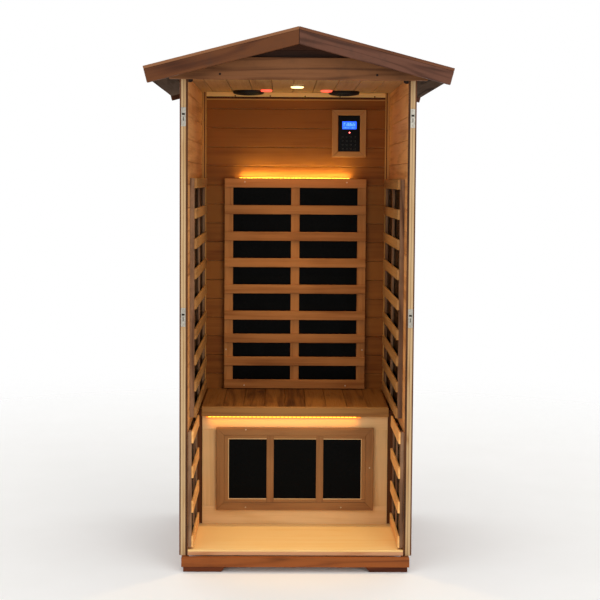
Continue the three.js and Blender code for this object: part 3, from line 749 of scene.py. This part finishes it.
def make_calf_heater():
    """A mitred border, a sunk surround with two bars across it, and thin light strips around the panels as
    painted highlights on the openings' edges.
    """
    node = "calf_heater_frame"
    low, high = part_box(node)
    sill, head = corner_places(node, 2)[1:-1]
    uprights = corner_places(node, 0)
    left, right = uprights[1], uprights[-2]
    border = 0.033
    sunk = 3.0 * MM
    step, bar_step = low.y + sunk, low.y + sunk / 2
    inner_low = Vector((low.x + border, 0, low.z + border))
    inner_high = Vector((high.x - border, 0, high.z - border))
    outer, inner = rectangle(low.xz, high.xz), rectangle(inner_low.xz, inner_high.xz)
    build = Build("calf_heater_surround")
    for shape, along, across in mitred(outer, inner, low.y, high.y, 1.6 * MM):
        build.add(shape, along, across)
    for z0, z1 in ((inner_low.z, sill), (head, inner_high.z)):
        build.add(brick((inner_low.x, step, z0), (inner_high.x, high.y, z1), 1.6 * MM), X, Z, 0.0)
    for x0, x1 in ((inner_low.x, left), (right, inner_high.x)):
        build.add(brick((x0, step, sill), (x1, high.y, head), 1.6 * MM), Z, X, 0.0)
    for x0, x1 in zip(uprights[2:-2:2], uprights[3:-2:2]):
        build.add(brick((x0, bar_step, inner_low.z), (x1, high.y, inner_high.z), 1.6 * MM), Z, X)
    build.finish(CALF_WOOD, "grille_wood", [node])

    # Thin strips of light wood around each opening: painted highlights on the rabbet edges.
    bead, front, back = 3.0 * MM, low.y + 2.5 * MM, high.y - 0.5 * MM
    edge_highlights = Build("calf_heater_beading")
    for x0, x1 in zip(uprights[1:-1:2], uprights[2:-1:2]):
        for z0, z1 in ((sill, sill + bead), (head - bead, head)):
            edge_highlights.add(brick((x0, front, z0), (x1, back, z1), 0.8 * MM), X, Z)
    for x0, x1 in ((left, left + bead), (right - bead, right)):
        edge_highlights.add(brick((x0, front, sill + bead), (x1, back, head - bead), 0.8 * MM), Z, X)
    edge_highlights.finish(BENCH, "grille_wood")

    first, last = -0.204, 0.192
    top, bottom, side = high.z - 8 * MM, low.z + 12.5 * MM, high.x - 16 * MM
    side_height = middle_of(low.z, high.z) + 6.5 * MM
    places = [Vector((x, low.y - PROUD, z))
              for x, z in ((first, top), (side, side_height), (last, bottom), (first, bottom))]
    screws("calf_heater_screws", places, 3.0 * MM, STEEL)


# Fittings.

def make_control():
    """A mitred wooden frame around a black unit with a screen, a pilot light and a pad of keys."""
    low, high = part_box("control_frame")
    unit_low, unit_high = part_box("control_unit")
    build = Build("control_surround")
    outer, inner = rectangle(low.xz, high.xz), rectangle(unit_low.xz, unit_high.xz)
    for shape, along, across in mitred(outer, inner, low.y, high.y, 2.4 * MM):
        build.add(shape, along, across)
    build.finish(CONTROL_WOOD, "bench_wood", ["control_frame"])

    rim, thickness = 5 * MM, 1.0 * MM
    build = Build("control_face")
    build.add(brick(unit_low, unit_high, 1.5 * MM))
    build.add(brick((unit_low.x + rim, unit_low.y - thickness, unit_low.z + rim),
                    (unit_high.x - rim, unit_low.y + thickness, unit_high.z - rim), 0.6 * MM))
    build.finish(PLASTIC_BLACK, "control_black", ["control_unit"])

    top = Vector((middle_of(unit_low.x, unit_high.x), unit_low.y, unit_high.z))
    make_screen(top)
    make_pilot_light(top)
    make_keys(top)


def make_screen(top):
    """A lit screen under the top of the unit, with rows of plain marks on it."""
    low = top + Vector((-0.0305, -1.6 * MM, -0.061))
    high = top + Vector((0.0325, 1.0 * MM, -0.027))
    Build("control_screen").add(brick(low, high, 0.4 * MM)).finish(BLUE_SCREEN, "control_black")
    marks = Build("control_screen_marks")
    rng = random.Random(5)
    margin, gap, filled = 6 * MM, 2.5 * MM, 0.72
    for up, tall in ((23.5 * MM, 4.5 * MM), (14.5 * MM, 8.5 * MM), (4.5 * MM, 3 * MM)):
        x = low.x + margin
        while x < high.x - 10 * MM:
            wide = rng.choice((3 * MM, 4.5 * MM, 7 * MM))
            if rng.random() < filled:
                corner = Vector((x, low.y, low.z + up))
                marks.add(brick(corner - Y * 0.2 * MM, corner + Vector((wide, 0.1 * MM, tall)), 0))
            x += wide + gap
    marks.finish(SCREEN_MARKS, "control_black")


def on_face(top, right, down):
    """Turns a shape to face the front, at a place on the unit's raised face."""
    place = top + Vector((right, -1.0 * MM, -down))
    return Matrix.Translation(place) @ Matrix.Rotation(math.pi / 2, 4, "X")


def make_pilot_light(top):
    dome = ((0, 0), (2.6 * MM, 0), (2.6 * MM, 0.8 * MM), (1.6 * MM, 1.7 * MM), (0, 2.0 * MM))
    led = Build("control_led")
    led.place(turned(dome, 16), on_face(top, 2 * MM, 76 * MM))
    led.finish(RED_LED, "red_light", smooth=True)


def make_keys(top):
    """Four rows of four round keys, each with a ring on it in place of its icon."""
    across, down, first_row = 18.5 * MM, 17.5 * MM, 95.5 * MM
    key = ((0, 0), (6.6 * MM, 0), (6.6 * MM, 1.0 * MM), (5.8 * MM, 1.7 * MM), (0, 1.9 * MM))
    ring = rectangle((2.2 * MM, 1.85 * MM), (3.0 * MM, 2.05 * MM))
    keys = Build("control_keys")
    icons = Build("control_key_icons")
    for row in range(4):
        for column in range(4):
            at = on_face(top, (column - 1.5) * across, first_row + row * down)
            keys.place(turned(key, 20), at)
            icons.place(turned((*ring, ring[0]), 12), at)
    keys.finish(PLASTIC_BLACK, "control_black", smooth=True)
    icons.finish(ICON_GREY, "control_black")


def under_ceiling(node):
    """Where a round fitting hangs, its radius and its drop."""
    low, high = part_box(node)
    at = Matrix.Translation((middle_of(low.x, high.x), middle_of(low.y, high.y), high.z))
    return at, (high.x - low.x) / 2, high.z - low.z


def make_lamp(node, lens_material, slot, lens_share, bezel_material, bezel_slot):
    """A domed lens in a flat ring."""
    at, radius, drop = under_ceiling(node)
    lens = radius * lens_share
    ring = ((lens, 0), (lens, -drop * 0.5), (radius * 0.985, -drop * 0.5), (radius, -drop * 0.38),
            (radius, 0), (lens, 0))
    Build(f"{node}_bezel").place(turned(ring, 40), at).finish(bezel_material, bezel_slot, [node], smooth=True)
    dome = ((0, 0), (lens * 0.995, 0), (lens * 0.995, -drop * 0.62), (lens * 0.93, -drop * 0.88),
            (lens * 0.7, -drop * 0.97), (0, -drop * 0.99))
    Build(f"{node}_lens").place(turned(dome, 40), at).finish(lens_material, slot, [node], smooth=True)


def make_lamps():
    make_lamp("ceiling_lamp", WARM_LENS, "warm_light", 0.95, STEEL, "latch_metal")
    for hand, _ in SIDES:
        make_lamp(f"{hand}_red_lamp", RED_LENS, "red_light", 0.96, RED_LENS, "red_light")


def speaker_profile(radius, drop, rim):
    """A rounded rim, and rings of slots cut into a bowed face."""
    profile = [(0, 0), (radius, 0), (radius, -drop * 0.35), (radius * 0.95, -drop * 0.62), (rim, -drop * 0.7)]
    rings = 14
    for i in range(rings):
        out = rim * (1 - i / rings)
        fall = -drop * (0.66 + 0.28 * (1 - (out / rim) ** 2))
        profile += [(out - 0.2 * MM, fall - 1.0 * MM), (out - rim / rings * 0.55, fall - 1.0 * MM),
                    (out - rim / rings * 0.6, fall + 0.8 * MM)]
    floor = profile[-2][1]
    profile[-1] = (profile[-1][0], floor)
    return [*profile, (0, floor)]


def make_speakers():
    spokes = 12
    for hand, _ in SIDES:
        node = f"{hand}_speaker"
        at, radius, drop = under_ceiling(node)
        rim = radius * 0.86
        build = Build(f"{hand}_speaker_grille")
        build.place(turned(speaker_profile(radius, drop, rim), 48), at)
        for i in range(spokes):
            spoke = brick((6 * MM, -1.0 * MM, -drop * 0.72), (rim, 1.0 * MM, -drop * 0.6), 0)
            build.place(spoke, at @ Matrix.Rotation(2 * math.pi * i / spokes, 4, "Z"))
        build.finish(SPEAKER_BLACK, "speaker_black", [node])


def make_strips():
    """The back strip shines upward; the bench strip shines down and out of its front edge."""
    lip, led_depth = 2.0 * MM, 5.0 * MM
    left_lead, right_lead = 8 * MM, 18 * MM
    led_spacing, led_share = 16.6 * MM, 0.84
    for node, down in (("back_light_strip", False), ("bench_light_strip", True)):
        low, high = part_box(node)
        back = middle_of(low.y, high.y) + led_depth / 2
        if down:
            shell = brick((low.x, low.y, low.z + lip), high, 0.6 * MM)
            front, bottom, top = low.y - 0.4 * MM, middle_of(low.z, high.z), high.z - 1.0 * MM
        else:
            shell = brick(low, (high.x, high.y, high.z - lip), 0.6 * MM)
            front, bottom, top = back - led_depth, high.z - lip, high.z
        Build(f"{node}_body").add(shell).finish(AMBER_SHELL if down else PLASTIC_BLACK, "warm_light", [node])

        start, end = low.x + left_lead, high.x - right_lead
        count = round((end - start) / led_spacing)
        pitch = (end - start) / count
        half = pitch * led_share / 2
        leds = Build(f"{node}_leds")
        for i in range(count):
            x = start + pitch * (i + 0.5)
            leds.add(brick((x - half, front, bottom), (x + half, back, top), 0.5 * MM))
        leds.finish(AMBER_LED, "warm_light", [node])


def make_latches():
    """Zinc strike plates: a plate cut by a square eye and a narrow slot, with two screws."""
    screw_spread = 27 * MM
    for hand, _ in SIDES:
        for level in ("upper", "lower"):
            node = f"{level}_{hand}_latch_plate"
            low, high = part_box(node)
            x, z = middle_of(low.x, high.x), middle_of(low.z, high.z)
            eye = 5.4 * MM, z + 7 * MM, z + 14 * MM
            slot = 1.3 * MM, z - 15 * MM, z + 1 * MM
            plate = Build(f"{node}_body")
            for z0, z1 in ((low.z, slot[1]), (slot[2], eye[1]), (eye[2], high.z)):
                plate.add(brick((low.x, low.y, z0), (high.x, high.y, z1), 0.5 * MM), Z, X)
            holes = Build(f"{node}_holes")
            for half_width, z0, z1 in (eye, slot):
                for x0, x1 in ((low.x, x - half_width), (x + half_width, high.x)):
                    plate.add(brick((x0, low.y, z0), (x1, high.y, z1), 0.3 * MM), Z, X)
                # A dark steel sheet behind each eye and slot: painted shade of the hole's depth.
                backing = (x - half_width, high.y - 0.4 * MM, z0), (x + half_width, high.y, z1)
                holes.add(brick(*backing, 0), Z, X)
            plate.finish(ZINC, "latch_metal", [node])
            holes.finish(DARK_STEEL, "latch_metal")
            places = [Vector((x, low.y - 0.05 * MM, z + up)) for up in (-screw_spread, screw_spread)]
            screws(f"{node}_screws", places, 3.4 * MM, ZINC)


def make_header_screws():
    low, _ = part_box("front_header_board")
    aside, up = 0.297, 0.0195
    places = [Vector((side * aside, low.y - PROUD, low.z + up)) for _, side in SIDES]
    screws("header_screws", places, 4.2 * MM, DARK_STEEL)


def make_ceiling_tacks():
    low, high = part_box("ceiling_back_trim")
    along = series(0.04, 0.155, low.x, high.x, TACK_MARGIN)
    places = [Vector((x, low.y - PROUD, low.z + 3.0 * MM)) for x in along]
    screws("ceiling_back_tacks", places, 3.0 * MM, DARK_STEEL)


def make_corner_tacks(hand):
    """Dark heads up the groove of a corner bead."""
    low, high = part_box(f"{hand}_corner_trim")
    x = low.x + (high.x - low.x) * middle_of(*GROOVE[hand])
    upward = series(high.z - 0.04, 0.125, low.z, high.z, TACK_MARGIN)
    places = [Vector((x, low.y + 0.6 * MM, z)) for z in upward]
    screws(f"{hand}_corner_tacks", places, 2.4 * MM, DARK_STEEL)


def make_corner_bracket(hand, side):
    """A small gusset in an upper corner of the opening, between wall, ceiling and header."""
    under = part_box("front_header_board")[0].z
    drop, reach, depth, gap = 0.010, 0.017, 0.014, 0.3 * MM
    wall, top = side * (ROOM_SIDE - gap), CEILING - gap
    inward = -side * reach
    gusset = ((wall, under - drop), (wall, top), (wall + inward, top), (wall + inward, under - drop * 0.55),
              (wall + inward * 0.6, under - drop))
    shape = prism(gusset, 1, WALL_FRONT + 0.5 * MM, WALL_FRONT + depth, 0.8 * MM)
    Build(f"{hand}_corner_bracket").add(shape).finish(DARK_STEEL, "latch_metal")


def make_small_hardware():
    make_header_screws()
    make_ceiling_tacks()
    for hand, side in SIDES:
        make_corner_tacks(hand)
        make_corner_bracket(hand, side)


# Heater panels keep the shape of their nodes.

def finish_panels():
    for heater in ("back", "calf", "left_side", "right_side", "left_leg", "right_leg"):
        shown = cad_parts[f"{heater}_heater_panel"]
        shown.data.materials.clear()
        shown.data.materials.append(HEATER_BLACK)


# Stage: a pale floor that fades into the pale surround, and soft lights.

def make_stage():
    bm = bmesh.new()
    bmesh.ops.create_circle(bm, cap_ends=True, radius=14, segments=96)
    mesh = bpy.data.meshes.new("floor")
    bm.to_mesh(mesh)
    bm.free()
    floor = bpy.data.objects.new("floor", mesh)
    floor.location.z = -0.5 * MM
    bpy.context.scene.collection.objects.link(floor)
    n = Nodes("pale_floor")
    place = n.add("TexCoord").outputs["Object"]
    distance = n.add("VectorMath", {0: place}, operation="LENGTH").outputs["Value"]
    n.put(n.shader.inputs["Alpha"], n.spread(distance, 1.6, 5.0, 1.0, 0.0))
    n.put(n.shader.inputs["Base Color"], n.mix(n.noise(place, 3.0), linear("#f6f5f2"), linear("#fbfaf8")))
    n.shader.inputs["Roughness"].default_value = 0.9
    mesh.materials.append(n.material)

    world = bpy.data.worlds.new("surround")
    world.use_nodes = True
    background = world.node_tree.nodes["Background"]
    background.inputs["Color"].default_value = linear("#ffffff")
    background.inputs["Strength"].default_value = 1.0
    bpy.context.scene.world = world
    bpy.context.scene.view_settings.view_transform = "Standard"


def aimed(name, data, place, target):
    """Sets a light at a place, shining at a target, and hides it from the camera."""
    light = bpy.data.objects.new(name, data)
    bpy.context.scene.collection.objects.link(light)
    light.visible_camera = False
    direction = Vector(target) - Vector(place)
    turn = direction.to_track_quat("-Z", "Y").to_matrix().to_4x4()
    light.matrix_world = Matrix.Translation(place) @ turn


def area_light(name, place, target, size, power, color, size_y=None, spread=180):
    data = bpy.data.lights.new(name, "AREA")
    data.energy = power
    data.color = color
    data.size = size
    data.spread = math.radians(spread)
    if size_y:
        data.shape = "RECTANGLE"
        data.size_y = size_y
    aimed(name, data, place, target)


def spot_light(name, place, target, power, angle):
    """A warm cone of light with a soft edge."""
    data = bpy.data.lights.new(name, "SPOT")
    data.energy = power
    data.color = (1.0, 0.68, 0.30)
    data.spot_size = math.radians(angle)
    data.spot_blend = 0.9
    data.shadow_soft_size = 0.03
    aimed(name, data, place, target)


def make_lights():
    area_light("key", (2.3, -4.4, 2.8), (0, 0, 1.1), 2.2, 34, (1.0, 0.98, 0.95))
    area_light("fill", (-2.8, -4.0, 1.6), (0, 0, 1.0), 2.6, 5, (1.0, 0.98, 0.96))
    make_back_glow()
    make_bench_glow()
    low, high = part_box("ceiling_lamp")
    lamp = Vector((middle_of(low.x, high.x), middle_of(low.y, high.y), low.z - 6 * MM))
    spot_light("lamp_glow", lamp, (lamp.x, lamp.y, FLOOR), 18.0, 95)
    spot_light("lamp_floor_glow", lamp, (lamp.x, WALL_FRONT + 0.24, FLOOR), 32.0, 34)


UNLIT_ENDS = 0.03  # what a strip's light is shorter than its body


def make_back_glow():
    """Light from the back strip: close and bright on the lining, and faint further up."""
    low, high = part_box("back_light_strip")
    x, length = middle_of(low.x, high.x), high.x - low.x
    area_light("back_glow", (x, ROOM_BACK - 0.022, high.z + 3 * MM), (x, ROOM_BACK + 0.02, high.z + 0.06),
               length - UNLIT_ENDS, 0.75, (1.0, 0.84, 0.28), size_y=0.010)
    area_light("back_wash", (x, ROOM_BACK - 0.10, high.z), (0, ROOM_BACK, high.z + 0.09),
               length, 0.13, (1.0, 0.50, 0.20), size_y=0.05)


def make_bench_glow():
    """Light from the bench strip, down onto the bench front."""
    low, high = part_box("bench_light_strip")
    x, length = middle_of(low.x, high.x), high.x - low.x - UNLIT_ENDS
    area_light("bench_glow", (x, low.y + 4 * MM, low.z - 4 * MM), (x, high.y - 0.01, low.z - 0.10),
               length, 0.03, (1.0, 0.72, 0.12), size_y=6 * MM)
    area_light("bench_wash", (x, low.y - 0.10, low.z - 0.035), (x, high.y, low.z - 0.020),
               length, 0.065, (1.0, 0.38, 0.02), size_y=0.02, spread=32)


make_camera()
make_base()
make_walls()
make_ceiling()
make_gables()
make_roof()
make_bench()
make_heaters()
make_calf_heater()
make_control()
make_lamps()
make_speakers()
make_strips()
make_latches()
make_small_hardware()
finish_panels()
make_stage()
make_lights()
